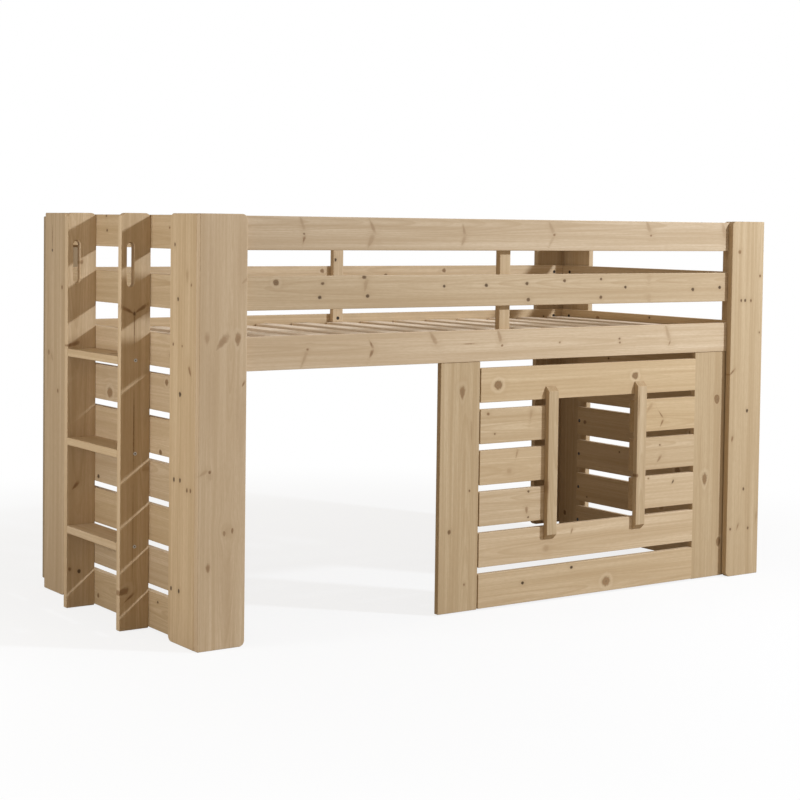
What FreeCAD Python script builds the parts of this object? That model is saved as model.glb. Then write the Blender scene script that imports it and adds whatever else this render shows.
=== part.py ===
import FreeCAD, Part
import math
import os

from FreeCAD import Vector

# A mid-height bed of pine boards with a ladder on its left end and a play panel with a window under its
# front rail. X runs along the bed to the right, Y from the front to the back, Z up. The origin is on the
# floor, under the middle of the whole object, ladder included. All sizes are millimetres.

# Mattress and overall height
mattress_length = 2000.0
mattress_width = 900.0
mattress_play = 17.0
bed_height = 1155.0

# Boards of the frame
board_thickness = 20.0
post_width = 144.0
post_corner_radius = 16.0
back_board_inset = 3.0
back_board_drop = 11.0
back_board_floor_clearance = 27.0
edge_radius = 2.0
board_corner_radius = edge_radius + 1.0

# Rails, from the top down: two guard rails and the bed rail
rail_height = 92.0
rail_gap = 70.0
rail_drop = 4.0
rail_count = 3

# Boards under the bed rail, the same rows on the ends and on the play panel
row_count = 6
row_gap = 20.0
row_floor_clearance = 5.0
end_board_lap = 27.0

# Uprights that tie the guard rails together at mid-length
support_width = 40.0
support_drop = 4.0

# Slats and the ledgers that carry them
slat_count = 15
slat_width = 70.0
slat_thickness = 18.0
slat_end_margin = 5.0
slat_side_clearance = 2.0
slat_drop = 27.0
ledger_thickness = 24.0
ledger_height = 40.0

# Ladder
stringer_depth = 90.0
stringer_floor_clearance = 2.0
stringer_corner_radius = 16.0
ladder_clear_width = 325.0
step_count = 3
step_thickness = 22.0
top_step_drop = 39.0
first_rise_cut = 13.0
step_back_clearance = 1.0
slot_width = 21.0
slot_length = 122.0
slot_edge_distance = 18.0
slot_top_drop = 81.0
slot_edge_radius = 3.0

# Play panel
stile_width = 144.0
stile_thickness = 17.0
stile_floor_clearance = 3.0
stile_post_overlap = 10.0
panel_inner_width = 871.0
panel_board_thickness = 20.0
panel_board_gap = 0.5
window_width = 322.0
window_offset = 247.0
trim_width = 38.0
trim_thickness = 17.0
trim_overlap = 41.0
trim_edge_radius = 1.0
trim_corner_radius = trim_edge_radius + 0.5

# Stub tenons of the panel boards and of the stiles
tenon_thickness = 7.0
tenon_length = 12.0
tenon_shoulder = 14.0
tenon_clearance = 0.2

# Countersunk screws, which stop short of the far face by the tip cover
screw_tip_cover = 5.0
screw_length = 2 * board_thickness - screw_tip_cover
trim_screw_length = panel_board_thickness + trim_thickness - screw_tip_cover
screw_diameter = 5.0
screw_head_diameter = 12.0
screw_tip_diameter = 1.2
screw_point_length = 5.0
screw_clearance = 0.15
screw_recess_width = 0.9
screw_recess_depth = 1.4
ladder_screw_bite = 50.0
ladder_screw_length = board_thickness + ladder_screw_bite
ladder_screw_diameter = 5.0
ladder_screw_head_diameter = 10.0
rail_screw_inset = 60.0
rail_screw_spread = 44.0
end_board_screw_inset = 12.0
ledger_screw_count = 6
ledger_screw_inset = 60.0

# Bolts and barrel nuts of the steps
bolt_diameter = 6.0
bolt_head_diameter = 10.0
bolt_head_height = 1.5
bolt_hole_clearance = 0.5
bolt_socket_across_flats = 4.0
bolt_socket_depth = 1.2
bolt_overrun = 10.0
barrel_diameter = 10.0
barrel_length = 16.0
barrel_distance = 35.0
barrel_clearance = 0.1
thread_clearance = 0.1

# Overall sizes that follow
inner_length = mattress_length + mattress_play
inner_width = mattress_width + mattress_play
bed_length = inner_length + 4 * board_thickness
bed_width = inner_width + 4 * board_thickness
ladder_reach = stringer_depth - board_thickness

# Faces of the frame: outer faces of the posts, then of the rails behind them, then the inner faces
left = ladder_reach - (bed_length + ladder_reach) / 2
right = left + bed_length
front = -bed_width / 2
back = bed_width / 2
left_rail = left + board_thickness
right_rail = right - board_thickness
front_rail = front + board_thickness
back_rail = back - board_thickness
left_inner = left_rail + board_thickness
right_inner = right_rail - board_thickness
front_inner = front_rail + board_thickness
back_inner = back_rail - board_thickness
tenon_middle = front_inner - stile_thickness / 2

# Levels
rail_pitch = rail_height + rail_gap
rail_tops = [bed_height - rail_drop - rail_pitch * i for i in range(rail_count)]
bed_rail_top = rail_tops[-1]
bed_rail_bottom = bed_rail_top - rail_height
row_pitch = (bed_rail_bottom - row_floor_clearance) / row_count
row_height = row_pitch - row_gap
row_bottoms = [row_floor_clearance + row_pitch * i for i in range(row_count)]
slat_top = bed_rail_top - slat_drop
ledger_top = slat_top - slat_thickness

# The steps share the height under the top step, and the lowest rise is a little less than the others
step_rise = (slat_top - top_step_drop + first_rise_cut) / step_count
step_tops = [step_rise * (i + 1) - first_rise_cut for i in range(step_count)]

nodes = {}
cuts = {}
groups = {}


class Axes:
    """A way to lay a board: the axes of its outline and the axis of its thickness."""

    def __init__(self, along, across, through):
        self.along = along
        self.across = across
        self.through = through

    def point(self, u, v, w):
        return self.along * u + self.across * v + self.through * w


X = Vector(1, 0, 0)
Y = Vector(0, 1, 0)
Z = Vector(0, 0, 1)
LENGTHWISE = Axes(X, Z, Y)
CROSSWISE = Axes(Y, Z, X)
FLAT = Axes(X, Y, Z)


def rounded_outline(corners, axes, level):
    """A closed wire through corners (u, v, radius), with an arc of that radius at each corner."""
    pieces = []
    count = len(corners)
    starts = []
    for i in range(count):
        u, v, radius = corners[i]
        here = Vector(u, v, 0)
        before = Vector(*corners[i - 1][:2], 0) - here
        after = Vector(*corners[(i + 1) % count][:2], 0) - here
        half_turn = before.getAngle(after) / 2
        reach = radius / math.tan(half_turn)
        enter = here + before.normalize() * reach
        leave = here + after.normalize() * reach
        centre_way = (before + after).normalize()
        centre = here + centre_way * (radius / math.sin(half_turn))
        middle = centre - centre_way * radius
        starts.append((enter, middle, leave))
    for i in range(count):
        enter, middle, leave = [axes.point(p.x, p.y, level) for p in starts[i]]
        following = starts[(i + 1) % count][0]
        pieces.append(Part.Arc(enter, middle, leave).toShape())
        pieces.append(Part.makeLine(leave, axes.point(following.x, following.y, level)))
    return Part.Wire(pieces)


def outline_board(corners, axes, low, high, radius=edge_radius):
    """A board of an outline, with its two faces' edges rounded."""
    wire = rounded_outline(corners, axes, low)
    solid = Part.Face(wire).extrude(axes.through * (high - low))
    return solid.makeFillet(radius, edges_on_faces(solid.Edges, axes, (low, high)))


def edges_on_faces(edges, axes, levels):
    """The edges that lie in one of the board's two faces, at these levels along its thickness."""
    tolerance = 1e-6
    on_face = []
    for edge in edges:
        place = edge.CenterOfMass.dot(axes.through)
        if min(abs(place - level) for level in levels) < tolerance:
            on_face.append(edge)
    return on_face


def rectangle(u, v, radii):
    """Corners of a rectangle, counter-clockwise from low u and low v."""
    return [(u[0], v[0], radii[0]), (u[1], v[0], radii[1]), (u[1], v[1], radii[2]), (u[0], v[1], radii[3])]


def plank(name, axes, u, v, w, radii=(board_corner_radius,) * 4):
    """A node that is one rectangular board between the limits u, v and w along its axes."""
    nodes[name] = outline_board(rectangle(u, v, radii), axes, w[0], w[1])


def box(axes, u, v, w):
    """A plain block between the limits u, v and w along the axes."""
    low = axes.point(u[0], v[0], w[0])
    high = axes.point(u[1], v[1], w[1])
    size = high - low
    return Part.makeBox(size.x, size.y, size.z, low)


def cut_later(name, tool):
    cuts.setdefault(name, []).append(tool)


def add_to_group(name, solid):
    groups.setdefault(name, []).append(solid)


def turned(profile, head, direction):
    """A solid of revolution from (distance along the axis, radius) points, with its start at the head."""
    points = [Vector(radius, 0, distance) for distance, radius in profile]
    points = [Vector(0, 0, profile[0][0])] + points + [Vector(0, 0, profile[-1][0])]
    wire = Part.makePolygon(points + points[:1])
    solid = Part.Face(wire).revolve(Vector(0, 0, 0), Z, 360)
    solid.Placement = FreeCAD.Placement(head, FreeCAD.Rotation(Z, direction))
    return solid


def screw(group, head, direction, through, into, length, diameter, head_diameter):
    """A countersunk screw from a face of one board into the next, and its holes in both."""
    radius = diameter / 2
    head_radius = head_diameter / 2
    shank_end = length - screw_point_length
    tip = screw_tip_diameter / 2
    profile = [(0, head_radius), (head_radius - radius, radius), (shank_end, radius), (length, tip)]
    body = turned(profile, head, direction)
    turn = FreeCAD.Placement(head, FreeCAD.Rotation(Z, direction))
    for wide, deep in ((diameter, screw_recess_width), (screw_recess_width, diameter)):
        slot = Part.makeBox(wide, deep, screw_recess_depth, Vector(-wide / 2, -deep / 2, 0))
        slot.Placement = turn
        body = body.cut(slot)
    add_to_group(group, body)
    hole = radius + screw_clearance
    profile = [(0, head_radius), (head_radius - hole, hole), (length + screw_clearance, hole)]
    bore = turned(profile, head, direction)
    cut_later(through, bore)
    cut_later(into, bore)


def board_screw(head, direction, through, into):
    screw("board_screws", head, direction, through, into, screw_length, screw_diameter, screw_head_diameter)


def post_boards():
    """Four corner posts: each long-side board covers the edge of its end board. The back boards are shorter."""
    inner_left = (board_corner_radius, post_corner_radius, post_corner_radius, board_corner_radius)
    inner_right = (post_corner_radius, board_corner_radius, board_corner_radius, post_corner_radius)
    height = (0, bed_height)
    back_height = (back_board_floor_clearance, bed_height - back_board_drop)
    for side, inset, v, w in (
        ("front", 0, height, (front, front_rail)),
        ("back", back_board_inset, back_height, (back_rail, back)),
    ):
        on_left = (left + inset, left + post_width)
        on_right = (right - post_width, right - inset)
        plank(f"post_{side}_left_{side}_board", LENGTHWISE, on_left, v, w, inner_left)
        plank(f"post_{side}_right_{side}_board", LENGTHWISE, on_right, v, w, inner_right)
    for end, w in (("left", (left, left_rail)), ("right", (right_rail, right))):
        near = (front_rail, front_rail + post_width)
        far = (back_rail - post_width, back_rail)
        plank(f"post_front_{end}_end_board", CROSSWISE, near, height, w, inner_left)
        plank(f"post_back_{end}_end_board", CROSSWISE, far, height, w, inner_right)


RAIL_NAMES = ("top_guard_rail", "lower_guard_rail", "bed_rail")


def rails():
    """Three rails on each side, inside the posts, screwed to them from the inside."""
    for rail, top in zip(RAIL_NAMES, rail_tops):
        v = (top - rail_height, top)
        plank(f"front_{rail}", LENGTHWISE, (left_rail, right_rail), v, (front_rail, front_inner))
        plank(f"back_{rail}", LENGTHWISE, (left_rail, right_rail), v, (back_inner, back_rail))
        plank(f"left_{rail}", CROSSWISE, (front_inner, back_inner), v, (left_rail, left_inner))
        plank(f"right_{rail}", CROSSWISE, (front_inner, back_inner), v, (right_inner, right_rail))
        middle = top - rail_height / 2
        for level in (middle - rail_screw_spread / 2, middle + rail_screw_spread / 2):
            for end, x in (("left", left_rail + rail_screw_inset), ("right", right_rail - rail_screw_inset)):
                head = Vector(x, front_inner, level)
                board_screw(head, -Y, f"front_{rail}", f"post_front_{end}_front_board")
                head = Vector(x, back_inner, level)
                board_screw(head, Y, f"back_{rail}", f"post_back_{end}_back_board")
            for side, y in (("front", front_rail + rail_screw_inset), ("back", back_rail - rail_screw_inset)):
                head = Vector(left_inner, y, level)
                board_screw(head, -X, f"left_{rail}", f"post_{side}_left_end_board")
                head = Vector(right_inner, y, level)
                board_screw(head, X, f"right_{rail}", f"post_{side}_right_end_board")


def end_boards():
    """Rows of boards under the bed rail at both ends, one screw at each board's end."""
    inset = board_thickness + post_width - end_board_lap
    u = (front + inset, back - inset)
    for i, bottom in enumerate(row_bottoms):
        v = (bottom, bottom + row_height)
        level = bottom + row_height / 2
        for end, w, face, way in (
            ("left", (left_rail, left_inner), left_inner, -X),
            ("right", (right_inner, right_rail), right_inner, X),
        ):
            name = f"{end}_end_board_{i + 1}"
            plank(name, CROSSWISE, u, v, w)
            for side, y in (("front", u[0] + end_board_screw_inset), ("back", u[1] - end_board_screw_inset)):
                board_screw(Vector(face, y, level), way, name, f"post_{side}_{end}_end_board")


def guard_supports():
    """One upright inside the front rails and one inside the back rails, at mid-length."""
    middle = (left + right) / 2
    u = (middle - support_width / 2, middle + support_width / 2)
    v = (slat_top, rail_tops[0] - support_drop)
    levels = [top - rail_height / 2 for top in rail_tops[:-1]]
    levels.append((slat_top + bed_rail_top) / 2)
    front_face = front_inner + board_thickness
    back_face = back_inner - board_thickness
    plank("front_guard_support", LENGTHWISE, u, v, (front_inner, front_face))
    plank("back_guard_support", LENGTHWISE, u, v, (back_face, back_inner))
    for rail, level in zip(RAIL_NAMES, levels):
        board_screw(Vector(middle, front_face, level), -Y, "front_guard_support", f"front_{rail}")
        board_screw(Vector(middle, back_face, level), Y, "back_guard_support", f"back_{rail}")


def slat_base():
    """Cross slats on two ledgers, with room beside each guard support."""
    v = (ledger_top - ledger_height, ledger_top)
    front_face = front_inner + ledger_thickness
    back_face = back_inner - ledger_thickness
    plank("front_ledger", LENGTHWISE, (left_inner, right_inner), v, (front_inner, front_face))
    plank("back_ledger", LENGTHWISE, (left_inner, right_inner), v, (back_face, back_inner))
    ledger_step = (inner_length - 2 * ledger_screw_inset) / (ledger_screw_count - 1)
    level = ledger_top - ledger_height / 2
    for i in range(ledger_screw_count):
        x = left_inner + ledger_screw_inset + ledger_step * i
        board_screw(Vector(x, front_face, level), -Y, "front_ledger", "front_bed_rail")
        board_screw(Vector(x, back_face, level), Y, "back_ledger", "back_bed_rail")
    slat_step = (inner_length - 2 * slat_end_margin - slat_width) / (slat_count - 1)
    y = (front_inner + slat_side_clearance, back_inner - slat_side_clearance)
    front_screw = front_inner + ledger_thickness / 2
    back_screw = back_inner - ledger_thickness / 2
    for i in range(slat_count):
        x = left_inner + slat_end_margin + slat_step * i
        outline = rectangle((x, x + slat_width), y, (board_corner_radius,) * 4)
        slat = outline_board(outline, FLAT, ledger_top, slat_top)
        holes = f"slat {i}"
        for row, ledger in ((front_screw, "front_ledger"), (back_screw, "back_ledger")):
            board_screw(Vector(x + slat_width / 2, row, slat_top), -Z, holes, ledger)
        add_to_group("slats", slat.cut(cuts.pop(holes)))


def ladder():
    """Two stringers against the left end, three steps between them, a bolt and a barrel nut at each end."""
    middle = (front + back) / 2
    outer = left - ladder_reach
    sides = (
        ("front", (middle - ladder_clear_width / 2 - board_thickness, middle - ladder_clear_width / 2), Y),
        ("back", (middle + ladder_clear_width / 2, middle + ladder_clear_width / 2 + board_thickness), -Y),
    )
    for i, top in enumerate(step_tops):
        u = (outer, left_rail - step_back_clearance)
        v = (middle - ladder_clear_width / 2, middle + ladder_clear_width / 2)
        plank(f"ladder_step_{i + 1}", FLAT, u, v, (top - step_thickness, top))
    radii = (board_corner_radius, board_corner_radius, stringer_corner_radius, stringer_corner_radius)
    for side, w, inward in sides:
        name = f"ladder_{side}_stringer"
        plank(name, LENGTHWISE, (outer, left_rail), (stringer_floor_clearance, bed_height), w, radii)
        cut_hand_slot(name, outer, w)
        face = w[0] if side == "front" else w[1]
        for i, top in enumerate(step_tops):
            head = Vector((outer + left_rail) / 2, face, top - step_thickness / 2)
            step_bolt(head, inward, name, f"ladder_step_{i + 1}")
        y = (w[0] + w[1]) / 2
        for rail, top in zip(RAIL_NAMES, rail_tops):
            stringer_screw(name, f"left_{rail}", y, top - rail_height / 2)
        second_from_ends = (1, row_count - 2)
        for i in second_from_ends:
            stringer_screw(name, f"left_end_board_{i + 1}", y, row_bottoms[i] + row_height / 2)


def cut_hand_slot(stringer, outer, w):
    """The upright slot with round ends near the top of a stringer, with its rims rounded."""
    u = outer + slot_edge_distance
    top = bed_height - slot_top_drop
    radius = slot_width / 2
    low = Vector(u + radius, w[0], top - slot_length + radius)
    high = Vector(u + radius, w[0], top - radius)
    ends = [Part.makeCylinder(radius, w[1] - w[0], centre, Y) for centre in (low, high)]
    slot = box(LENGTHWISE, (u, u + slot_width), (low.z, high.z), w).fuse(ends).removeSplitter()
    board = nodes[stringer].cut(slot)
    near_slot = [edge for edge in board.Edges if slot.BoundBox.isInside(edge.CenterOfMass)]
    nodes[stringer] = board.makeFillet(slot_edge_radius, edges_on_faces(near_slot, LENGTHWISE, w))


def stringer_screw(stringer, board, y, level):
    screw(
        "ladder_screws",
        Vector(left_inner, y, level),
        -X,
        board,
        stringer,
        ladder_screw_length,
        ladder_screw_diameter,
        ladder_screw_head_diameter,
    )


def step_bolt(head, inward, stringer, step):
    """A bolt through a stringer into a step's end, and the barrel nut that it pulls on."""
    radius = bolt_diameter / 2
    head_radius = bolt_head_diameter / 2
    reach = board_thickness + barrel_distance + bolt_overrun
    profile = [(-bolt_head_height, head_radius), (0, head_radius), (0, radius), (reach, radius)]
    bolt = turned(profile, head, inward)
    socket = hexagon(bolt_socket_across_flats, bolt_socket_depth)
    socket.Placement = FreeCAD.Placement(head - inward * bolt_head_height, FreeCAD.Rotation(Z, inward))
    add_to_group("step_bolts", bolt.cut(socket))
    hole = turned([(0, radius + bolt_hole_clearance), (reach, radius + bolt_hole_clearance)], head, inward)
    cut_later(stringer, hole)
    cut_later(step, hole)
    centre = head + inward * (board_thickness + barrel_distance)
    base = centre - Z * (barrel_length / 2)
    nut = Part.makeCylinder(barrel_diameter / 2, barrel_length, base, Z)
    thread = turned([(0, radius + thread_clearance), (reach, radius + thread_clearance)], head, inward)
    add_to_group("barrel_nuts", nut.cut(thread))
    below = Vector(centre.x, centre.y, centre.z - step_thickness)
    depth = step_thickness + barrel_length / 2
    cut_later(step, Part.makeCylinder(barrel_diameter / 2 + barrel_clearance, depth, below, Z))


def hexagon(across_flats, depth):
    corner = across_flats / math.sqrt(3)
    turns = [math.radians(60 * i) for i in range(7)]
    points = [Vector(corner * math.cos(turn), corner * math.sin(turn), 0) for turn in turns]
    return Part.Face(Part.makePolygon(points)).extrude(Vector(0, 0, depth))


def play_panel():
    """Stiles, boards in the same rows as the ends', a window in the middle rows and two trims beside it."""
    stile_right = right - post_width + stile_post_overlap
    opening_right = stile_right - stile_width
    opening_left = opening_right - panel_inner_width
    stiles = {"left": (opening_left - stile_width, opening_left), "right": (opening_right, stile_right)}
    v = (stile_floor_clearance, bed_rail_bottom)
    for side, u in stiles.items():
        plank(f"panel_{side}_stile", LENGTHWISE, u, v, (front_inner - stile_thickness, front_inner))
        stile_tenon(f"panel_{side}_stile", u)
    both = ("left", "right")
    bottom_row, lower_row, *window_rows, top_row = row_bottoms
    for name, bottom in (("bottom", bottom_row), ("lower", lower_row), ("top", top_row)):
        panel_board(f"panel_{name}_board", (opening_left, opening_right), bottom, both)
    window_left = opening_left + window_offset + trim_width
    window_right = window_left + window_width
    for i, bottom in enumerate(window_rows):
        panel_board(f"panel_left_short_board_{i + 1}", (opening_left, window_left), bottom, ("left",))
        panel_board(f"panel_right_short_board_{i + 1}", (window_right, opening_right), bottom, ("right",))
    trim("left", (window_left - trim_width, window_left), lower_row + row_height, window_rows, top_row)
    trim("right", (window_right, window_right + trim_width), lower_row + row_height, window_rows, top_row)


def stile_tenon(name, u):
    """A stub tenon on a stile's top, and its mortise in the bed rail's underside."""
    ease = tenon_clearance
    w = (tenon_middle - tenon_thickness / 2, tenon_middle + tenon_thickness / 2)
    across = (u[0] + tenon_shoulder, u[1] - tenon_shoulder)
    tenon = box(LENGTHWISE, across, (bed_rail_bottom - edge_radius, bed_rail_bottom + tenon_length), w)
    nodes[name] = nodes[name].fuse(tenon)
    room = box(
        LENGTHWISE,
        (across[0] - ease, across[1] + ease),
        (bed_rail_bottom, bed_rail_bottom + tenon_length + ease),
        (w[0] - ease, w[1] + ease),
    )
    cut_later("front_bed_rail", room)


def panel_board(name, u, bottom, tenon_sides):
    """A board between the stiles, flush with their backs and thicker, with a tenon in each stile it reaches."""
    face = front_inner - panel_board_thickness
    limits = list(u)
    if "left" in tenon_sides:
        limits[0] += panel_board_gap
    if "right" in tenon_sides:
        limits[1] -= panel_board_gap
    plank(name, LENGTHWISE, limits, (bottom, bottom + row_height), (face, front_inner))
    ease = tenon_clearance
    w = (tenon_middle - tenon_thickness / 2, tenon_middle + tenon_thickness / 2)
    v = (bottom + tenon_shoulder, bottom + row_height - tenon_shoulder)
    for side in tenon_sides:
        if side == "left":
            tenon = (u[0] - tenon_length, limits[0] + edge_radius)
            room = (u[0] - tenon_length - ease, u[0])
        else:
            tenon = (limits[1] - edge_radius, u[1] + tenon_length)
            room = (u[1], u[1] + tenon_length + ease)
        nodes[name] = nodes[name].fuse(box(LENGTHWISE, tenon, v, w))
        mortise = box(LENGTHWISE, room, (v[0] - ease, v[1] + ease), (w[0] - ease, w[1] + ease))
        cut_later(f"panel_{side}_stile", mortise)


def trim(side, u, sill, window_rows, lintel):
    """An upright window trim, mitred to an edge above and below, screwed on from behind."""
    low = sill - trim_overlap
    high = lintel + trim_overlap
    middle = (u[0] + u[1]) / 2
    face = front_inner - panel_board_thickness
    corner = trim_corner_radius
    corners = [
        (face, low, corner),
        (face, high, corner),
        (face - trim_thickness, high - trim_thickness, corner),
        (face - trim_thickness, low + trim_thickness, corner),
    ]
    name = f"window_{side}_trim"
    nodes[name] = outline_board(corners, CROSSWISE, u[0], u[1], trim_edge_radius)
    seats = [("panel_lower_board", sill - trim_overlap / 2), ("panel_top_board", lintel + trim_overlap / 2)]
    for i, bottom in enumerate(window_rows):
        seats.append((f"panel_{side}_short_board_{i + 1}", bottom + row_height / 2))
    for board, level in seats:
        screw(
            "trim_screws",
            Vector(middle, front_inner, level),
            -Y,
            board,
            name,
            trim_screw_length,
            screw_diameter,
            screw_head_diameter,
        )


def write_parts():
    os.makedirs("parts", exist_ok=True)
    for name, tools in cuts.items():
        nodes[name] = nodes[name].cut(tools)
    for name, solids in groups.items():
        nodes[name] = Part.makeCompound(solids)
    for name, shape in nodes.items():
        shape.exportStep(f"parts/{name}.step")
    print(len(nodes), "nodes,", sum(len(shape.Solids) for shape in nodes.values()), "solids")
    whole = Part.makeCompound(list(nodes.values())).BoundBox
    print("size", round(whole.XLength, 2), round(whole.YLength, 2), round(whole.ZLength, 2))


post_boards()
rails()
end_boards()
guard_supports()
slat_base()
ladder()
play_panel()
write_parts()
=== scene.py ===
import math
import random

import bpy
from mathutils import Matrix, Vector


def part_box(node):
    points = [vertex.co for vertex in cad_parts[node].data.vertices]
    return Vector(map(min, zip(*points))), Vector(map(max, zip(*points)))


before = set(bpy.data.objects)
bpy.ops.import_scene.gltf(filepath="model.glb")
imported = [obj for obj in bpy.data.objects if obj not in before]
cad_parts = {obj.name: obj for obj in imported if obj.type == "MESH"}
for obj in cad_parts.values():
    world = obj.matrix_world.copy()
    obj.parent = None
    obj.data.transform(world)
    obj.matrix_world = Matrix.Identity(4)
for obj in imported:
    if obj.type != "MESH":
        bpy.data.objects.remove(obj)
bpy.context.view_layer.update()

# Looks of a mid-height pine bed. Every board keeps its CAD shape and gets its own pine: growth rings that
# run through the solid, so that faces, edges and end grain agree, and knots that the grain flows around.
# X runs along the bed, Y from front to back, Z up, in metres.

# Camera, in metres, degrees and millimetres of lens
camera_place = (-3.237, -4.531, 1.131)
camera_yaw = 34.208
camera_pitch = -2.585
camera_roll = 0.696
camera_lens = 79.25
camera_shift = (0.045, -0.12)

# Lights: a small key from the right and front, and soft ones from the left, the front and above
key_place = (3.0, -3.9, 3.25)
key_aim = (-1.0, 0.0, 0.6)
key_size = 0.37
key_power = 246.0
key_colour = (0.90, 1.0, 1.15)
fill_place = (-2.7, -0.22, 0.9)
fill_size = 0.5
fill_power = 15.5
fill_colour = (0.95, 1.0, 1.07)
front_place = (0.4, -5.2, 1.4)
front_size = 2.4
front_power = 20.0
top_place = (0.0, 0.0, 4.2)
top_size = 3.2
top_power = 24.0
ambient_level = 0.27
ambient_colour = (1.22, 1.0, 0.76, 1.0)

# Floor, in metres: near the bed it shows a soft shadow, further off it fades into the white background
floor_half = 9.0
floor_drop = 0.0006
floor_white = (0.90, 0.90, 0.89, 1.0)
floor_roughness = 0.9
floor_specular = 0.1
floor_bounce = (0.48, 0.43, 0.36, 1.0)
floor_whiteness = 0.82
fade_start = 1.3
fade_end = 2.8

# Pine, in linear colours
early_wood = (0.652, 0.504, 0.325)
late_wood = (0.450, 0.312, 0.170)
pale_wood = (0.680, 0.540, 0.365)
mark_brown = (0.440, 0.305, 0.170)
knot_light = (0.290, 0.170, 0.080)
knot_dark = (0.050, 0.027, 0.012)

# Ends and sides of a board: factors on the wood's colour, and how squarely a face looks there to count
end_grain = (0.80, 0.74, 0.66)
side_grain = (1.10, 1.11, 1.13)
facing_edges = (0.4, 0.8)

# Growth rings: width and sway in metres, and the parts of a year over which the late wood comes and goes
ring_width = 0.0031
ring_sway = 0.011
sway_scale = (1.7, 8.0, 8.0)
late_rise = (0.30, 0.92)
late_fall = (1.0, 0.93)
ring_strengths = (0.20, 0.80)
ring_depth = 0.68

# Grain from coarse to fine: noise scales along and across the board, noise detail, the noise value at which
# the wood starts to darken, and how much it darkens at the full value
grain_full = 0.75
grain_layers = {
    "streaks": dict(along=0.9, across=26.0, detail=2.0, start=0.35, depth=0.45),
    "bands": dict(along=1.3, across=75.0, detail=2.0, start=0.35, depth=0.53),
    "veins": dict(along=2.4, across=150.0, detail=2.0, start=0.35, depth=0.44),
    "flecks": dict(along=55.0, across=320.0, detail=1.0, start=0.30, depth=0.26),
    "fibres": dict(along=24.0, across=750.0, detail=1.0, start=0.25, depth=0.16),
}

# Gloss and relief of the wood; the relief's depth is in metres
wood_roughness = (0.52, 0.70)
ring_gloss = 0.08
wood_specular = 0.15
fibre_relief = 0.7
ring_relief = 0.3
rim_relief = 0.5
relief_strength = 0.35
relief_depth = 0.0004

# Knots: tones from 0 to 1, widths and the edge in metres, reaches in the knot's own radii, depths as shares
no_knot = 50.0
round_stretch = 1.1
pin_stretch = 1.2
shown_tones = (0.0, 0.15)
clear_tones = (0.12, 0.35)
light_tones = (0.0, 0.35)
dark_tones = (0.35, 1.0)
large_widths = (0.0055, 0.0095)
outline_scale = (140.0, 140.0, 140.0)
outline_detail = 2.0
outline_sway = 0.8
halo_reach = (4.0, 1.2)
halo_depth = 0.25
pale_inner_reach = (1.15, 1.6)
pale_outer_reach = (2.4, 1.7)
pale_depth = 0.35
heart_reach = (0.9, 0.1)
heart_depth = 0.30
knot_years = 3.0
knot_year_edges = (0.2, 0.9)
knot_year_depth = 0.22
knot_edge = 0.0018
softest_edge = 0.6
core_depths = (0.62, 0.92)
rim_reach = (0.24, 0.05)
rim_depths = (0.10, 0.45)

# How a knot draws the grain aside, and how much narrower a long one gets
pull_reach = 0.35
pull_round = 0.75
pull_long = 0.15
narrowing = 0.6
narrowing_limit = 1.2

# Chance from board to board: the pith's place, as a share of the width and in metres, its lean, and the tint
seed_range = (10.0, 90.0)
pith_beside = 0.35
pith_below = (0.018, 0.060)
lean_across = 0.02
lean_through = 0.03
level_range = (0.96, 1.04)
warmth_range = (-0.03, 0.04)
red_of_warmth = 0.3

# Steel; the depths at which painted shade darkens a bolt's socket are in metres
screw_brown = (0.050, 0.038, 0.030)
screw_metal = 0.7
bolt_grey = (0.700, 0.690, 0.670)
nut_metal = 0.85
steel_scale = (420.0, 420.0, 420.0)
steel_detail = 2.0
steel_shade = 0.6
steel_roughness = (0.32, 0.55)
bolt_shade = 0.8
bolt_roughness = (0.40, 0.60)
socket_shade_start = 0.0003
socket_shade_full = 0.0009

# Slats in their node, in metres: paler wood than the boards
slat_count = 15
slat_width = 0.070
slat_tint = (1.50, 1.70, 2.18)
slat_shade = 0.92
slat_seed_step = 7.3
slat_pith_beside = 0.03
slat_pith_below = 0.035
slat_lean = (0.0, 0.01, 0.02)

# Boards that are lighter or darker than the rest, as the photograph shows them: partly the wood's own tone,
# partly painted shade and painted light that stand in for how the lamps fall on each board
board_tones_and_painted_shade = {
    "front_top_guard_rail": 0.97,
    "front_bed_rail": 1.05,
    "panel_top_board": 1.02,
    "panel_lower_board": 1.05,
    "panel_bottom_board": 1.01,
    "window_left_trim": 0.90,
    "window_right_trim": 0.93,
    "panel_left_stile": 0.91,
    "panel_right_stile": 0.89,
    "post_front_right_front_board": 0.90,
    "post_front_left_front_board": 1.06,
    "post_front_left_end_board": 1.09,
    "post_back_left_end_board": 1.02,
    # Painted shade: the back corners' boards below are darkened where they stand in shadow
    "post_back_left_back_board": 0.60,
    "post_back_right_back_board": 0.87,
    "post_back_right_end_board": 0.92,
    "right_lower_guard_rail": 0.93,
    "front_lower_guard_rail": 0.93,
    "ladder_back_stringer": 1.03,
    "front_ledger": 1.20,
    "back_ledger": 1.20,
}

# Boards that are greyer than the rest: their warmth is below 0
board_warmths = {
    "front_top_guard_rail": -0.07,
    "front_bed_rail": -0.07,
    "front_lower_guard_rail": -0.02,
    "post_front_left_front_board": -0.05,
}


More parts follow.
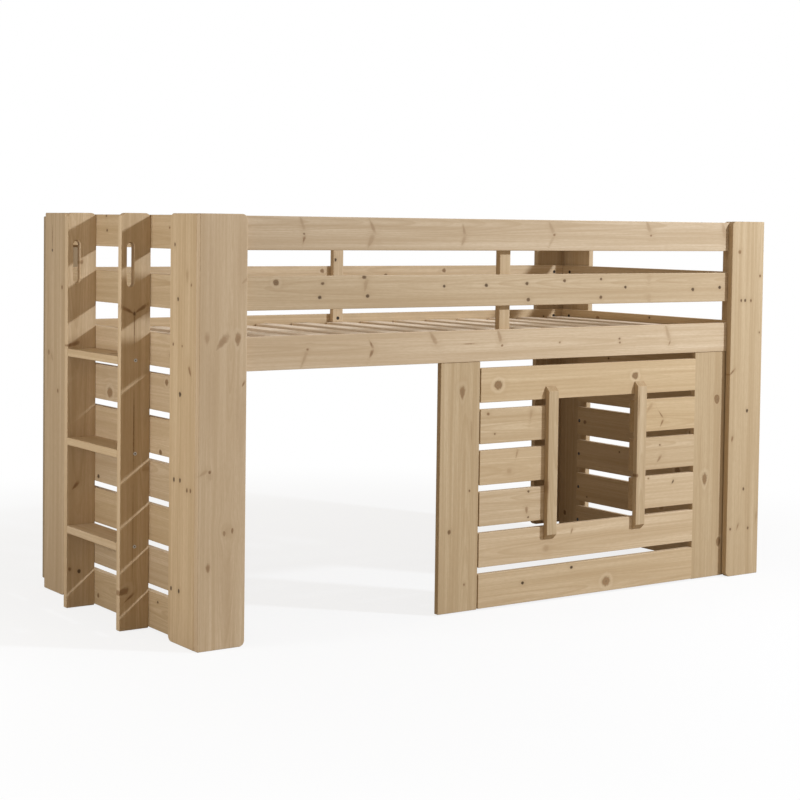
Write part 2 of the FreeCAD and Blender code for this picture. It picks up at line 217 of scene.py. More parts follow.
class Graph:
    """Short ways to add nodes to a node tree. A value is a socket to link or a number to set."""

    def __init__(self, tree):
        self.tree = tree

    def put(self, value, socket):
        if isinstance(value, bpy.types.NodeSocket):
            self.tree.links.new(value, socket)
        else:
            socket.default_value = value

    def add(self, kind, *values, **settings):
        node = self.tree.nodes.new(kind)
        for name, value in settings.items():
            setattr(node, name, value)
        for value, socket in zip(values, node.inputs):
            self.put(value, socket)
        return node

    def math(self, operation, *values):
        return self.add("ShaderNodeMath", *values, operation=operation).outputs[0]

    def times(self, first, *others):
        product = first
        for other in others:
            product = self.math("MULTIPLY", product, other)
        return product

    def vector(self, operation, *values):
        node = self.add("ShaderNodeVectorMath", *values, operation=operation)
        return node.outputs["Value" if operation == "LENGTH" else "Vector"]

    def split(self, vector):
        return self.add("ShaderNodeSeparateXYZ", vector).outputs

    def join(self, x, y, z):
        return self.add("ShaderNodeCombineXYZ", x, y, z).outputs[0]

    def ramp(self, value, low, high, start=0.0, end=1.0):
        """A smooth step from start, where value is low, to end, where it is high."""
        node = self.add("ShaderNodeMapRange", value, low, high, start, end, interpolation_type="SMOOTHSTEP")
        return node.outputs[0]

    def blend(self, factor, a, b):
        node = self.add("ShaderNodeMix", factor, data_type="FLOAT")
        self.put(a, node.inputs[2])
        self.put(b, node.inputs[3])
        return node.outputs[0]

    def colour(self, factor, a, b, blend_type="MIX"):
        node = self.add("ShaderNodeMix", factor, data_type="RGBA", blend_type=blend_type)
        self.put(a if isinstance(a, bpy.types.NodeSocket) else (*a, 1.0), node.inputs[6])
        self.put(b if isinstance(b, bpy.types.NodeSocket) else (*b, 1.0), node.inputs[7])
        return node.outputs[2]

    def noise(self, place, scale, detail=1.0, output="Fac"):
        node = self.add("ShaderNodeTexNoise")
        self.put(self.vector("MULTIPLY", place, scale), node.inputs["Vector"])
        node.inputs["Scale"].default_value = 1.0
        node.inputs["Detail"].default_value = detail
        return node.outputs[output]

    def random(self, value):
        node = self.add("ShaderNodeTexWhiteNoise", noise_dimensions="1D")
        self.put(value, node.inputs["W"])
        return node.outputs["Value"]

    def use(self, group, **values):
        node = self.add("ShaderNodeGroup", node_tree=group)
        for name, value in values.items():
            self.put(value, node.inputs[name])
        return node.outputs


def new_group(name, inputs, outputs):
    """An empty node group with these sockets, its graph, its input sockets and its output node."""
    group = bpy.data.node_groups.new(name, "ShaderNodeTree")
    for label, kind in inputs.items():
        group.interface.new_socket(name=label, in_out="INPUT", socket_type=f"NodeSocket{kind}")
    for label, kind in outputs.items():
        group.interface.new_socket(name=label, in_out="OUTPUT", socket_type=f"NodeSocket{kind}")
    graph = Graph(group)
    start = graph.add("NodeGroupInput").outputs
    end = graph.add("NodeGroupOutput").inputs
    return group, graph, start, end


def make_knot_group():
    """One knot: it draws the grain aside and passes on the nearest knot so far, with its distance in its own
    radii, its tone and its size. A long knot is a branch cut lengthwise, and is narrower at one end."""
    group, g, start, end = new_group(
        "knot",
        {"Board": "Vector", "Place": "Vector", "Turn": "Float", "Reach": "Vector", "Tone": "Float",
         "Nearest": "Float", "NearestTone": "Float", "NearestSize": "Float"},
        {"Board": "Vector", "Nearest": "Float", "NearestTone": "Float", "NearestSize": "Float"},
    )
    along, across, through = g.split(start["Board"])
    offset = g.vector("MULTIPLY", g.vector("SUBTRACT", start["Board"], start["Place"]), (1.0, 1.0, 0.0))
    turn = g.add("ShaderNodeVectorRotate", rotation_type="Z_AXIS")
    g.put(offset, turn.inputs["Vector"])
    g.put(start["Turn"], turn.inputs["Angle"])
    u, v, _ = g.split(g.vector("DIVIDE", turn.outputs[0], start["Reach"]))
    length, width, _ = g.split(start["Reach"])
    slender = g.math("SUBTRACT", 1.0, g.math("DIVIDE", width, length))
    bounded = g.math("MINIMUM", g.math("MAXIMUM", u, -narrowing_limit), narrowing_limit)
    taper = g.times(slender, narrowing, bounded)
    distance = g.vector("LENGTH", g.join(u, g.math("DIVIDE", v, g.math("ADD", taper, 1.0)), 0.0))
    fading = g.math("EXPONENT", g.times(distance, distance, -pull_reach))
    pull = g.times(fading, g.blend(slender, pull_round, pull_long))
    aside = g.times(g.split(offset)[1], pull)
    g.put(g.join(along, g.math("SUBTRACT", across, aside), through), end["Board"])
    closer = g.math("LESS_THAN", distance, start["Nearest"])
    g.put(g.blend(closer, start["NearestTone"], start["Tone"]), end["NearestTone"])
    g.put(g.blend(closer, start["NearestSize"], width), end["NearestSize"])
    g.put(g.math("MINIMUM", distance, start["Nearest"]), end["Nearest"])
    return group


def late_wood_share(g, start, seeded):
    """How much of a point is late wood: rings around the tree's pith, which leans along the board."""
    along = g.split(start["Board"])[0]
    sway = g.vector("SUBTRACT", g.noise(seeded, sway_scale, output="Color"), (0.5, 0.5, 0.5))
    sway = g.vector("MULTIPLY", sway, (0.0, ring_sway, ring_sway))
    lean = g.vector("MULTIPLY", start["Lean"], g.join(0.0, along, along))
    from_pith = g.vector("SUBTRACT", start["Board"], g.vector("ADD", start["Pith"], lean))
    from_pith = g.vector("MULTIPLY", g.vector("ADD", from_pith, sway), (0.0, 1.0, 1.0))
    years = g.math("DIVIDE", g.vector("LENGTH", from_pith), ring_width)
    part = g.math("FRACT", years)
    late = g.times(g.ramp(part, *late_rise), g.ramp(part, *late_fall))
    chance = g.random(g.math("ADD", g.math("FLOOR", years), start["Seed"]))
    return g.times(late, g.ramp(chance, 0.0, 1.0, *ring_strengths))


def colour_grain(g, seeded, ring):
    """The colour of clear wood. Returns the finest grain too, for the gloss and the relief."""
    colour = g.colour(g.times(ring, ring_depth), early_wood, late_wood)
    for layer in grain_layers.values():
        scale = (layer["along"], layer["across"], layer["across"])
        grain = g.noise(seeded, scale, layer["detail"])
        colour = g.colour(g.ramp(grain, layer["start"], grain_full, 0.0, layer["depth"]), colour, late_wood)
    return colour, grain


def colour_knot(g, start, seeded, colour):
    """Colours the nearest knot and the wood around it. Returns its dark rim too, for the relief."""
    tone = start["NearestTone"]
    width = start["NearestSize"]
    sway = g.math("SUBTRACT", g.noise(seeded, outline_scale, outline_detail), 0.5)
    knot = g.math("ADD", start["Nearest"], g.times(sway, outline_sway))
    shown = g.ramp(tone, *shown_tones)
    clear = g.ramp(tone, *clear_tones)
    large = g.times(g.ramp(width, *large_widths), clear)

    halo = g.times(g.ramp(knot, *halo_reach), halo_depth, shown)
    colour = g.colour(halo, colour, mark_brown)
    pale = g.times(g.ramp(knot, *pale_inner_reach), g.ramp(knot, *pale_outer_reach), large, pale_depth)
    colour = g.colour(pale, colour, pale_wood)

    core = g.colour(g.ramp(tone, *light_tones), mark_brown, knot_light)
    core = g.colour(g.ramp(tone, *dark_tones), core, knot_dark)
    heart = g.times(g.ramp(knot, *heart_reach), clear, heart_depth)
    core = g.colour(heart, core, knot_dark)
    years = g.ramp(g.math("PINGPONG", g.times(knot, knot_years), 1.0), *knot_year_edges)
    core = g.colour(g.times(years, large, knot_year_depth), core, mark_brown)

    edge = g.math("MINIMUM", g.math("DIVIDE", knot_edge, width), softest_edge)
    softness = g.blend(clear, softest_edge, edge)
    inside = g.ramp(knot, g.math("ADD", 1.0, softness), g.math("SUBTRACT", 1.0, softness))
    colour = g.colour(g.times(inside, shown, g.blend(clear, *core_depths)), colour, core)
    from_rim = g.math("ABSOLUTE", g.math("SUBTRACT", knot, 1.0))
    rim = g.times(g.ramp(from_rim, *rim_reach), large)
    colour = g.colour(g.times(rim, g.blend(tone, *rim_depths)), colour, knot_dark)
    return colour, rim


def make_pine_group():
    """Pine at a point of a board (along, across, through), after the knots have drawn the grain aside."""
    group, g, start, end = new_group(
        "pine",
        {"Board": "Vector", "Nearest": "Float", "NearestTone": "Float", "NearestSize": "Float",
         "Seed": "Float", "Pith": "Vector", "Lean": "Vector", "Tint": "Color",
         "EndGrain": "Float", "SideGrain": "Float"},
        {"Color": "Color", "Roughness": "Float", "Height": "Float"},
    )
    along, across, through = g.split(start["Board"])
    seeded = g.join(g.math("ADD", along, start["Seed"]), across, through)
    ring = late_wood_share(g, start, seeded)
    colour, fibre = colour_grain(g, seeded, ring)
    colour, rim = colour_knot(g, start, seeded, colour)
    colour = g.colour(start["SideGrain"], colour, g.colour(1.0, colour, side_grain, "MULTIPLY"))
    colour = g.colour(start["EndGrain"], colour, g.colour(1.0, colour, end_grain, "MULTIPLY"))
    g.put(g.colour(1.0, colour, start["Tint"], "MULTIPLY"), end["Color"])
    g.put(g.math("SUBTRACT", g.blend(fibre, *wood_roughness), g.times(ring, ring_gloss)), end["Roughness"])
    height = g.math("ADD", g.times(fibre, fibre_relief), g.times(ring, ring_relief))
    g.put(g.math("SUBTRACT", height, g.times(rim, rim_relief)), end["Height"])
    return group


class Knot:
    """A knot's place from the middle of its board, along the grain and across it, and its size, in metres.
    Turn is its angle from the grain, in degrees. Tone goes from 0, which only bends the grain, by 0.3, which
    is light brown, to 1, which is black."""

    def __init__(self, along, across, length, width, turn, tone):
        self.place = (along, across, 0.0)
        self.reach = (length, width, 1.0)
        self.turn = math.radians(-turn)
        self.tone = tone


def round_knot(along, across, radius, tone):
    return Knot(along, across, radius * round_stretch, radius, 0.0, tone)


def oval_knot(along, across, length, width, tone):
    return Knot(along, across, length, width, 0.0, tone)


def pin_knot(along, across, radius, tone=0.8):
    return Knot(along, across, radius * pin_stretch, radius, 0.0, tone)


def branch(along, across, length, turn, width=0.004, tone=0.15):
    """The soft mark of a branch cut along its length. A very long one of low tone is a faint streak."""
    return Knot(along, across, length, width, turn, tone)


# Knots that the photograph shows, board by board
placed_knots = {
    "panel_top_board": [
        round_knot(-0.371, -0.001, 0.012, 0.5),
        round_knot(0.174, 0.006, 0.010, 0.55),
    ],
    "panel_left_stile": [
        oval_knot(0.271, 0.007, 0.017, 0.008, 0.3),
        round_knot(-0.134, -0.034, 0.006, 0.6),
        pin_knot(-0.018, 0.038, 0.003, 0.6),
        pin_knot(-0.293, 0.023, 0.003, 0.5),
        branch(0.150, 0.042, 0.030, 0.0, 0.003),
    ],
    "panel_right_stile": [
        oval_knot(0.204, 0.031, 0.020, 0.014, 0.42),
        oval_knot(-0.052, -0.020, 0.017, 0.009, 0.32),
        oval_knot(-0.262, 0.047, 0.014, 0.009, 0.45),
        branch(0.020, 0.040, 0.300, 0.0, 0.016, 0.06),
    ],
    "panel_bottom_board": [
        round_knot(0.067, -0.021, 0.013, 0.3),
        pin_knot(-0.266, 0.009, 0.0045, 1.0),
        pin_knot(-0.075, 0.037, 0.0045, 0.95),
    ],
    "panel_lower_board": [
        round_knot(-0.178, -0.017, 0.010, 0.14),
        branch(-0.076, 0.027, 0.009, 70.0, 0.003, 0.25),
        oval_knot(0.068, -0.010, 0.060, 0.016, 0.0),
    ],
    "panel_left_short_board_3": [
        round_knot(-0.107, 0.037, 0.005, 0.45),
        branch(0.055, 0.027, 0.014, 80.0, 0.005),
        pin_knot(-0.082, -0.023, 0.003, 0.6),
    ],
    "panel_left_short_board_2": [
        branch(0.003, 0.035, 0.012, 75.0, 0.003, 0.2),
        round_knot(-0.025, -0.015, 0.008, 0.14),
    ],
    "panel_left_short_board_1": [
        pin_knot(0.050, 0.040, 0.0035, 0.75),
        branch(0.044, -0.016, 0.010, 90.0, 0.005, 0.25),
        pin_knot(0.050, -0.037, 0.003, 0.7),
    ],
    "panel_right_short_board_3": [
        branch(-0.073, 0.023, 0.017, 50.0, 0.005),
        branch(-0.024, 0.002, 0.014, -50.0, 0.002, 0.45),
        branch(-0.018, -0.026, 0.011, 60.0, 0.003, 0.40),
    ],
    "panel_right_short_board_2": [
        pin_knot(-0.025, 0.026, 0.003, 0.6),
        branch(-0.027, -0.018, 0.012, 50.0, 0.004, 0.25),
    ],
    "panel_right_short_board_1": [
        pin_knot(-0.072, 0.044, 0.003, 0.5),
        branch(0.034, 0.026, 0.007, 50.0, 0.003, 0.8),
    ],
    "window_right_trim": [
        round_knot(-0.062, -0.016, 0.005, 0.5),
        branch(0.150, -0.014, 0.040, 0.0, 0.002, 0.3),
    ],
    "window_left_trim": [branch(-0.080, -0.017, 0.030, 0.0, 0.002, 0.3)],
    "front_top_guard_rail": [
        branch(-0.724, 0.030, 0.018, -68.0),
        pin_knot(-0.717, 0.001, 0.003, 0.6),
        branch(-0.717, -0.016, 0.011, 75.0, 0.0035, 0.3),
        branch(-0.492, 0.021, 0.020, -63.0, 0.0045, 0.2),
        branch(-0.497, -0.020, 0.022, 65.0, 0.006),
        branch(-0.171, 0.014, 0.014, -75.0, 0.004, 0.2),
        branch(-0.172, -0.016, 0.016, 70.0, 0.005),
        branch(0.158, 0.024, 0.018, -60.0, 0.005),
        pin_knot(0.170, 0.005, 0.004, 0.3),
        branch(0.160, -0.016, 0.022, 60.0, 0.004, 0.1),
        branch(0.553, 0.030, 0.020, -62.0, 0.006),
        pin_knot(0.564, 0.006, 0.0035, 0.4),
        branch(0.885, 0.020, 0.025, -70.0, 0.008),
    ],
    "front_lower_guard_rail": [
        round_knot(-0.804, 0.029, 0.008, 0.6),
        pin_knot(-0.655, 0.025, 0.0045, 0.7),
        pin_knot(-0.664, -0.013, 0.005, 0.85),
        round_knot(-0.517, 0.042, 0.006, 0.7),
        branch(-0.512, 0.020, 0.016, 80.0, 0.006),
        pin_knot(-0.505, -0.011, 0.005, 0.8),
        pin_knot(-0.240, 0.014, 0.004, 0.85),
        pin_knot(-0.086, 0.015, 0.005, 0.8),
        pin_knot(0.067, 0.019, 0.005, 0.75),
        round_knot(0.073, -0.029, 0.006, 0.7),
        pin_knot(0.213, 0.026, 0.005, 0.7),
        pin_knot(0.360, 0.030, 0.004, 0.7),
        pin_knot(0.360, -0.026, 0.005, 0.7),
        pin_knot(0.461, 0.004, 0.0045, 0.85),
        pin_knot(0.749, -0.006, 0.0055, 0.8),
        pin_knot(0.869, -0.001, 0.005, 0.9),
        branch(0.560, 0.030, 0.016, 85.0, 0.008, 0.08),
        branch(0.560, -0.032, 0.016, 95.0, 0.008, 0.08),
    ],
    "front_bed_rail": [
        pin_knot(-0.702, 0.007, 0.0035, 0.4),
        branch(-0.712, -0.018, 0.024, 66.0, 0.004),
        branch(-0.491, 0.016, 0.011, -60.0, 0.0035, 0.3),
        branch(-0.490, -0.010, 0.013, 65.0, 0.0045, 0.3),
        branch(-0.276, 0.028, 0.021, -55.0, 0.006, 0.2),
        branch(-0.034, 0.028, 0.020, -70.0, 0.006, 0.2),
        round_knot(-0.023, 0.003, 0.004, 0.4),
        branch(-0.150, 0.007, 0.024, 0.0, 0.0012, 0.4),
        pin_knot(0.199, 0.002, 0.003, 0.4),
        pin_knot(0.440, 0.007, 0.0035, 0.6),
        pin_knot(0.442, -0.005, 0.0035, 0.5),
        branch(0.643, 0.022, 0.024, -68.0, 0.006),
        branch(0.653, -0.008, 0.008, 65.0, 0.003, 0.25),
    ],
    "post_front_left_front_board": [
        oval_knot(0.249, -0.049, 0.014, 0.006, 0.18),
        branch(0.240, -0.003, 0.022, 40.0, 0.008, 0.24),
        oval_knot(0.246, 0.043, 0.015, 0.008, 0.28),
        branch(0.398, 0.060, 0.013, 50.0, 0.004, 0.14),
        branch(0.127, 0.062, 0.008, 30.0, 0.003, 0.3),
        pin_knot(-0.103, -0.038, 0.0042, 0.5),
        branch(-0.104, -0.057, 0.014, 60.0, 0.004, 0.14),
        oval_knot(-0.115, -0.036, 0.010, 0.008, 0.10),
        oval_knot(-0.268, 0.008, 0.010, 0.006, 0.26),
        oval_knot(-0.264, 0.031, 0.010, 0.005, 0.30),
        round_knot(-0.266, 0.019, 0.018, 0.09),
        oval_knot(-0.356, -0.041, 0.011, 0.006, 0.28),
        branch(0.460, 0.056, 0.110, 0.0, 0.013, 0.075),
        branch(0.440, -0.040, 0.130, 0.0, 0.007, 0.07),
        branch(0.020, 0.056, 0.090, 0.0, 0.013, 0.075),
        branch(0.080, -0.034, 0.120, 0.0, 0.011, 0.07),
        branch(-0.435, 0.014, 0.130, 0.0, 0.016, 0.08),
    ],
    "post_front_left_end_board": [
        pin_knot(0.494, 0.046, 0.004, 0.7),
        oval_knot(0.411, -0.023, 0.016, 0.006, 0.15),
        pin_knot(0.389, -0.046, 0.0035, 0.5),
        pin_knot(0.349, 0.026, 0.0045, 0.8),
        pin_knot(0.227, 0.052, 0.0035, 0.6),
        pin_knot(0.225, 0.002, 0.003, 0.4),
        branch(0.161, -0.041, 0.014, 25.0, 0.005, 0.3),
        pin_knot(0.096, 0.012, 0.006, 1.0),
        pin_knot(-0.136, 0.043, 0.005, 0.9),
        pin_knot(-0.134, 0.009, 0.005, 0.8),
        pin_knot(-0.156, -0.030, 0.005, 0.6),
        pin_knot(-0.155, -0.049, 0.005, 0.6),
        pin_knot(-0.432, 0.055, 0.005, 0.9),
        pin_knot(-0.432, 0.011, 0.005, 0.9),
    ],
    "post_front_right_front_board": [
        round_knot(0.479, -0.039, 0.006, 0.3),
        pin_knot(0.401, 0.057, 0.004, 0.5),
        pin_knot(0.322, -0.028, 0.004, 0.7),
        pin_knot(0.322, -0.010, 0.0045, 0.8),
        pin_knot(0.321, 0.017, 0.004, 0.6),
        pin_knot(0.216, 0.059, 0.003, 0.5),
        branch(0.090, -0.062, 0.014, 50.0, 0.003, 0.4),
        pin_knot(-0.039, 0.010, 0.005, 0.9),
        branch(-0.128, -0.056, 0.009, 10.0, 0.004, 0.3),
        pin_knot(-0.295, 0.001, 0.0045, 0.75),
        pin_knot(-0.425, 0.025, 0.004, 0.65),
        branch(-0.417, -0.023, 0.012, 20.0, 0.003, 0.25),
        pin_knot(-0.423, -0.056, 0.004, 0.6),
        branch(-0.391, 0.062, 0.016, 10.0, 0.005, 0.15),
    ],
    "post_back_left_end_board": [
        branch(0.495, 0.020, 0.036, 0.0, 0.0018, 0.55),
        pin_knot(0.464, 0.020, 0.004, 0.9),
        pin_knot(0.354, -0.051, 0.005, 0.35),
        round_knot(0.153, 0.043, 0.007, 0.25),
        branch(0.139, 0.020, 0.012, 30.0, 0.004, 0.14),
        round_knot(0.039, -0.023, 0.006, 0.3),
    ],
    "ladder_front_stringer": [
        oval_knot(0.300, -0.004, 0.006, 0.004, 0.7),
        branch(0.309, -0.022, 0.022, -63.0, 0.0045, 0.35),
        branch(0.313, 0.015, 0.024, 59.0, 0.0045, 0.35),
        branch(-0.468, -0.036, 0.020, 70.0, 0.008, 0.32),
        branch(-0.486, -0.016, 0.016, 50.0, 0.003, 0.4),
        branch(0.256, -0.004, 0.046, 0.0, 0.0016, 0.5),
        branch(-0.007, -0.004, 0.103, 180.0, 0.0017, 0.5),
        branch(-0.330, -0.005, 0.150, 0.0, 0.0012, 0.22),
        branch(-0.131, 0.036, 0.012, 80.0, 0.006, 0.14),
    ],
    "ladder_back_stringer": [
        pin_knot(0.434, -0.019, 0.006, 0.7),
        round_knot(0.433, -0.002, 0.006, 0.3),
        branch(0.196, -0.022, 0.015, 70.0, 0.006, 0.3),
        branch(0.193, -0.036, 0.010, 80.0, 0.005, 0.4),
        branch(-0.218, -0.018, 0.014, 40.0, 0.005, 0.35),
        pin_knot(-0.463, -0.035, 0.005, 0.4),
        pin_knot(-0.472, -0.005, 0.005, 0.85),
    ],
    "left_end_board_6": [
        round_knot(0.067, -0.026, 0.013, 0.3),
        oval_knot(-0.281, 0.031, 0.008, 0.008, 0.5),
    ],
    "left_end_board_5": [pin_knot(-0.247, -0.042, 0.007, 0.6)],
    "left_end_board_4": [pin_knot(0.140, -0.035, 0.006, 0.85)],
    "left_top_guard_rail": [
        pin_knot(0.096, 0.042, 0.004, 0.6),
        pin_knot(0.092, 0.0, 0.004, 0.7),
        pin_knot(-0.292, 0.011, 0.003, 0.5),
    ],
    "back_guard_support": [pin_knot(0.037, -0.012, 0.005, 1.0)],
    "back_lower_guard_rail": [
        round_knot(-0.052, 0.030, 0.007, 0.5),
        round_knot(0.460, 0.029, 0.007, 0.55),
        pin_knot(0.209, 0.014, 0.006, 0.6),
    ],
}


def random_knots(rng, length, width):
    """Knots for a board without placed ones: about one in each spacing, and nearly half of them small."""
    spacing = 0.30
    crowding = (0.6, 1.3)
    share_along = (0.15, 0.85)
    share_across = 0.42
    pin_share = 0.45
    pin_radii = (0.0025, 0.0045)
    round_radii = (0.005, 0.012)
    round_tones = (0.15, 0.6)
    knots = []
    count = round(length / spacing * rng.uniform(*crowding))
    for i in range(count):
        along = length * ((i + rng.uniform(*share_along)) / count - 0.5)
        across = width * rng.uniform(-share_across, share_across)
        if rng.random() < pin_share:
            knots.append(pin_knot(along, across, rng.uniform(*pin_radii)))
        else:
            knots.append(round_knot(along, across, rng.uniform(*round_radii), rng.uniform(*round_tones)))
    return knots


def new_material(name):
    material = bpy.data.materials.new(name)
    material.use_nodes = True
    graph = Graph(material.node_tree)
    return material, graph, material.node_tree.nodes["Principled BSDF"]


def wear(name, material):
    """Puts a material on every slot of a CAD node."""
    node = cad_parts[name]
    if not node.material_slots:
        node.data.materials.append(None)
    for slot in node.material_slots:
        slot.link = "OBJECT"
        slot.material = material


def board_axes(low, high):
    """The numbers of a board's axes along the grain, across it and through it: longest side first."""
    size = high - low
    return sorted(range(3), key=lambda i: -size[i])


def facing_share(graph, axis):
    """How much a face looks along an axis: 1 on a board's ends for the axis along it, or on its sides."""
    normal = graph.split(graph.add("ShaderNodeNewGeometry").outputs["Normal"])
    return graph.ramp(graph.math("ABSOLUTE", normal[axis]), *facing_edges)


def pith_of(rng, width):
    """Where the tree's middle lies from the board's middle: beside it and below or above it."""
    beside = rng.uniform(-pith_beside, pith_beside) * width
    below = rng.choice((-1.0, 1.0)) * rng.uniform(*pith_below)
    return (0.0, beside, below)


def board_tint_and_painted_shade(name, rng):
    # The level holds the board's tone, and for the listed boards also painted shade or painted light
    value = board_tones_and_painted_shade.get(name, rng.uniform(*level_range))
    warmth = board_warmths.get(name, rng.uniform(*warmth_range))
    return (value * (1.0 + red_of_warmth * warmth), value, value * (1.0 - warmth), 1.0)


def bent_grain(graph, board, knots):
    """The place in the grain after each knot has drawn it aside, and the nearest knot."""
    state = {"Board": board, "Nearest": no_knot, "NearestTone": 0.0, "NearestSize": 1.0}
    for knot in knots:
        facts = {"Place": knot.place, "Turn": knot.turn, "Reach": knot.reach, "Tone": knot.tone}
        out = graph.use(knot_group, **facts, **state)
        state = {label: out[label] for label in state}
    return state


def pine_shader(graph, shader, pine):
    """Sends the pine group's outputs to a material's shader."""
    graph.put(pine["Color"], shader.inputs["Base Color"])
    graph.put(pine["Roughness"], shader.inputs["Roughness"])
    shader.inputs["Specular IOR Level"].default_value = wood_specular
    bump = graph.add("ShaderNodeBump")
    bump.inputs["Strength"].default_value = relief_strength
    bump.inputs["Distance"].default_value = relief_depth
    graph.put(pine["Height"], bump.inputs["Height"])
    graph.put(bump.outputs[0], shader.inputs["Normal"])


def pine_board(name):
    """Gives a board's CAD node its own pine."""
    rng = random.Random(name)
    low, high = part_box(name)
    axes = board_axes(low, high)
    length, width = ((high - low)[i] for i in axes[:2])
    material, g, shader = new_material(f"pine_{name}")
    place = g.add("ShaderNodeTexCoord").outputs["Object"]
    parts = g.split(g.vector("SUBTRACT", place, tuple((low + high) / 2)))
    board = g.join(*(parts[i] for i in axes))
    knots = placed_knots.get(name)
    if knots is None:
        knots = random_knots(rng, length, width)
    pine = g.use(
        pine_group,
        Seed=rng.uniform(*seed_range),
        Pith=pith_of(rng, width),
        Lean=(0.0, rng.uniform(-lean_across, lean_across), rng.uniform(-lean_through, lean_through)),
        Tint=board_tint_and_painted_shade(name, rng),
        EndGrain=facing_share(g, axes[0]),
        SideGrain=facing_share(g, axes[1]),
        **bent_grain(g, board, knots),
    )
    pine_shader(g, shader, pine)
    wear(name, material)


def pine_slats(name):
    """The slats share a node, so each one's number gives it its own stretch of wood."""
    low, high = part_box(name)
    material, g, shader = new_material(f"pine_{name}")
    x, y, z = g.split(g.add("ShaderNodeTexCoord").outputs["Object"])
    pitch = (high.x - low.x - slat_width) / (slat_count - 1)
    from_end = g.math("SUBTRACT", x, low.x + slat_width / 2 - pitch / 2)
    number = g.math("FLOOR", g.math("DIVIDE", from_end, pitch))
    across = g.math("SUBTRACT", from_end, g.times(g.math("ADD", number, 0.5), pitch))
    through = g.math("SUBTRACT", z, (low.z + high.z) / 2)
    chance = g.random(number)
    darker_tint = tuple(slat_shade * part for part in slat_tint)
    pine = g.use(
        pine_group,
        Seed=g.times(number, slat_seed_step),
        Pith=g.join(0.0, g.blend(chance, -slat_pith_beside, slat_pith_beside), slat_pith_below),
        Lean=slat_lean,
        Tint=g.colour(chance, slat_tint, darker_tint),
        EndGrain=facing_share(g, 1),
        SideGrain=facing_share(g, 0),
        **bent_grain(g, g.join(y, across, through), []),
    )
    pine_shader(g, shader, pine)
    wear(name, material)


def steel_colour(graph, place, colour, shade):
    """A metal colour that is a little uneven, and the noise that makes it so."""
    grain = graph.noise(place, steel_scale, steel_detail)
    darker = tuple(shade * part for part in colour)
    return graph.colour(grain, darker, colour), grain


def steel(name, plain_colour, metal):
    """Fasteners of browned or plated steel, a little uneven in colour and gloss."""
    material, g, shader = new_material(f"steel_{name}")
    place = g.add("ShaderNodeTexCoord").outputs["Object"]
    colour, grain = steel_colour(g, place, plain_colour, steel_shade)
    g.put(colour, shader.inputs["Base Color"])
    g.put(g.blend(grain, *steel_roughness), shader.inputs["Roughness"])
    shader.inputs["Metallic"].default_value = metal
    wear(name, material)


def bolt_steel(name):
    """Grey bolts with painted shade in their sockets: the depth is taken from the heads' faces, at both ends
    in Y.
    """
    low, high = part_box(name)
    material, g, shader = new_material(f"steel_{name}")
    place = g.add("ShaderNodeTexCoord").outputs["Object"]
    colour, grain = steel_colour(g, place, bolt_grey, bolt_shade)
    from_middle = g.math("ABSOLUTE", g.math("SUBTRACT", g.split(place)[1], (low.y + high.y) / 2))
    depth = g.math("SUBTRACT", (high.y - low.y) / 2, from_middle)
    # Painted shade: the socket's recess turns screw brown below a small depth
    colour = g.colour(g.ramp(depth, socket_shade_start, socket_shade_full), colour, screw_brown)
    g.put(colour, shader.inputs["Base Color"])
    g.put(g.blend(grain, *bolt_roughness), shader.inputs["Roughness"])
    wear(name, material)


def dress():
    """Gives every CAD node its material."""
    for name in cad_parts:
        if name == "slats":
            pine_slats(name)
        elif name in ("board_screws", "trim_screws", "ladder_screws"):
            steel(name, screw_brown, screw_metal)
        elif name == "step_bolts":
            bolt_steel(name)
        elif name == "barrel_nuts":
            steel(name, bolt_grey, nut_metal)
        else:
            pine_board(name)


def seen_directly(graph):
    """1 for the camera's rays, also by way of gloss or glass."""
    path = graph.add("ShaderNodeLightPath").outputs
    seen = graph.math("MAXIMUM", path["Is Camera Ray"], path["Is Glossy Ray"])
    return graph.math("MAXIMUM", seen, path["Is Transmission Ray"])


def make_floor():
    """A plain pale floor: nearly white to the camera, with the bed's soft shadow on it."""
    corners = [(-1, -1), (1, -1), (1, 1), (-1, 1)]
    mesh = bpy.data.meshes.new("floor")
    mesh.from_pydata([(x * floor_half, y * floor_half, -floor_drop) for x, y in corners], [], [(0, 1, 2, 3)])
    floor = bpy.data.objects.new("floor", mesh)
    bpy.context.scene.collection.objects.link(floor)
    material, g, shader = new_material("floor")
    shader.inputs["Base Color"].default_value = floor_white
    shader.inputs["Roughness"].default_value = floor_roughness
    shader.inputs["Specular IOR Level"].default_value = floor_specular
    white = g.add("ShaderNodeEmission")
    from_bed = g.vector("LENGTH", g.add("ShaderNodeTexCoord").outputs["Object"])
    whiteness = g.ramp(from_bed, fade_start, fade_end, floor_whiteness, 1.0)
    seen = g.add("ShaderNodeMixShader", whiteness, shader.outputs[0], white.outputs[0])
    bounce = g.add("ShaderNodeBsdfDiffuse", floor_bounce)
    mixed = g.add("ShaderNodeMixShader", seen_directly(g), bounce.outputs[0], seen.outputs[0])
    g.put(mixed.outputs[0], material.node_tree.nodes["Material Output"].inputs["Surface"])
    mesh.materials.append(material)


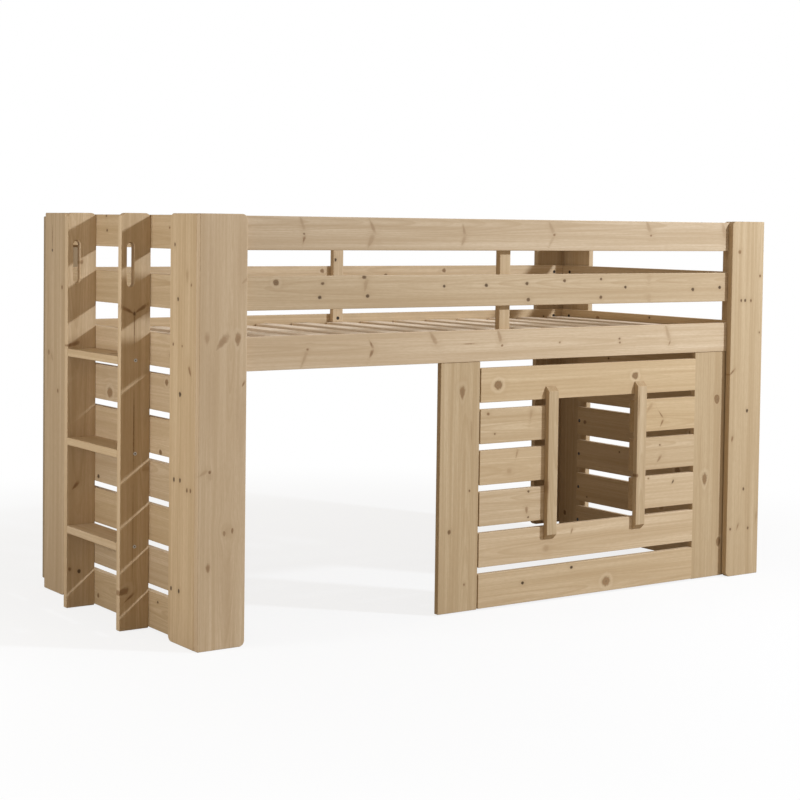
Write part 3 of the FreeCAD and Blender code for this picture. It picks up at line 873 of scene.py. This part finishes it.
def make_world():
    """A white background to the camera, and a warm, dim light from all around to everything else."""
    world = bpy.data.worlds.new("studio")
    world.use_nodes = True
    g = Graph(world.node_tree)
    ambient = world.node_tree.nodes["Background"]
    ambient.inputs["Color"].default_value = ambient_colour
    ambient.inputs["Strength"].default_value = ambient_level
    white = g.add("ShaderNodeBackground", (1.0, 1.0, 1.0, 1.0), 1.0)
    mixed = g.add("ShaderNodeMixShader", seen_directly(g), ambient.outputs[0], white.outputs[0])
    g.put(mixed.outputs[0], world.node_tree.nodes["World Output"].inputs["Surface"])
    bpy.context.scene.world = world


def add_light(name, place, facing, power, size, colour=(1.0, 1.0, 1.0), shape="SQUARE"):
    light = bpy.data.lights.new(name, "AREA")
    light.shape = shape
    light.size = size
    light.energy = power
    light.color = colour
    lamp = bpy.data.objects.new(name, light)
    lamp.location = place
    lamp.rotation_euler = Vector(facing).to_track_quat("-Z", "Y").to_euler()
    bpy.context.scene.collection.objects.link(lamp)


def make_lights():
    toward_bed = Vector(key_aim) - Vector(key_place)
    add_light("key", key_place, toward_bed, key_power, key_size, key_colour, "DISK")
    add_light("fill", fill_place, (1.0, 0.0, 0.0), fill_power, fill_size, fill_colour)
    add_light("front", front_place, (0.0, 1.0, 0.0), front_power, front_size)
    add_light("top", top_place, (0.0, 0.0, -1.0), top_power, top_size)


def make_camera():
    """The photograph's view: yaw turns from +Y towards +X, and roll tips the right side up."""
    yaw, pitch, roll = (math.radians(angle) for angle in (camera_yaw, camera_pitch, camera_roll))
    forward = Vector((math.sin(yaw) * math.cos(pitch), math.cos(yaw) * math.cos(pitch), math.sin(pitch)))
    level = Vector((math.cos(yaw), -math.sin(yaw), 0.0))
    upward = level.cross(forward)
    right = level * math.cos(roll) + upward * math.sin(roll)
    up = upward * math.cos(roll) - level * math.sin(roll)
    data = bpy.data.cameras.new("camera")
    data.lens = camera_lens
    data.shift_x, data.shift_y = camera_shift
    camera = bpy.data.objects.new("camera", data)
    turn = Matrix((right, up, -forward)).transposed().to_4x4()
    camera.matrix_world = Matrix.Translation(camera_place) @ turn
    bpy.context.scene.collection.objects.link(camera)
    bpy.context.scene.camera = camera


knot_group = make_knot_group()
pine_group = make_pine_group()
dress()
make_floor()
make_world()
make_lights()
make_camera()
bpy.context.scene.view_settings.view_transform = "Standard"
